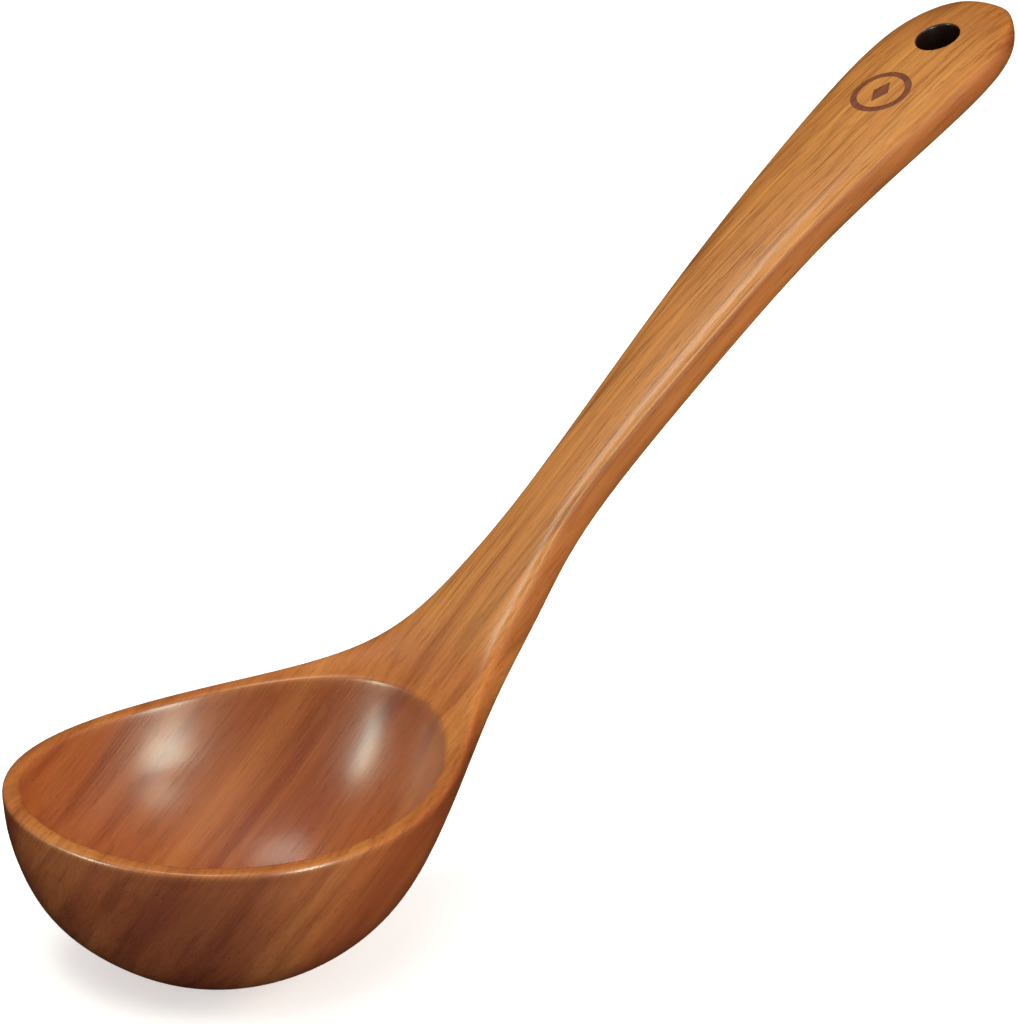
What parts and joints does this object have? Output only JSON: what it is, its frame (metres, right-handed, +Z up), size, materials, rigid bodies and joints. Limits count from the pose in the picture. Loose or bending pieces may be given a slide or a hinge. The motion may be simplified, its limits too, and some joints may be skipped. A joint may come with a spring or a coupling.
{
  "type": "wooden soup ladle",
  "caption": "Carved wooden soup ladle with a deep egg-shaped bowl, a long curved handle, a hanging hole and a small burned ring mark on the grip.",
  "frame": {"origin": "on the small flat under the bowl, which is the lowest point, straight below the middle of the rim circle", "axes": "+X from the bowl towards the handle, +Z up with the bowl level enough to hold soup, +Y across the ladle"},
  "size_m": [0.2763, 0.0926, 0.1651],
  "materials": {
    "wood": "satin oil finish, straight grain along the handle",
    "charred_wood": "lightly charred, matt"
  },
  "bodies": {
    "root": {"ladle_body": "wood", "burned_mark_ring": "charred_wood", "burned_mark_lozenge": "charred_wood"}
  },
  "joints": []
}
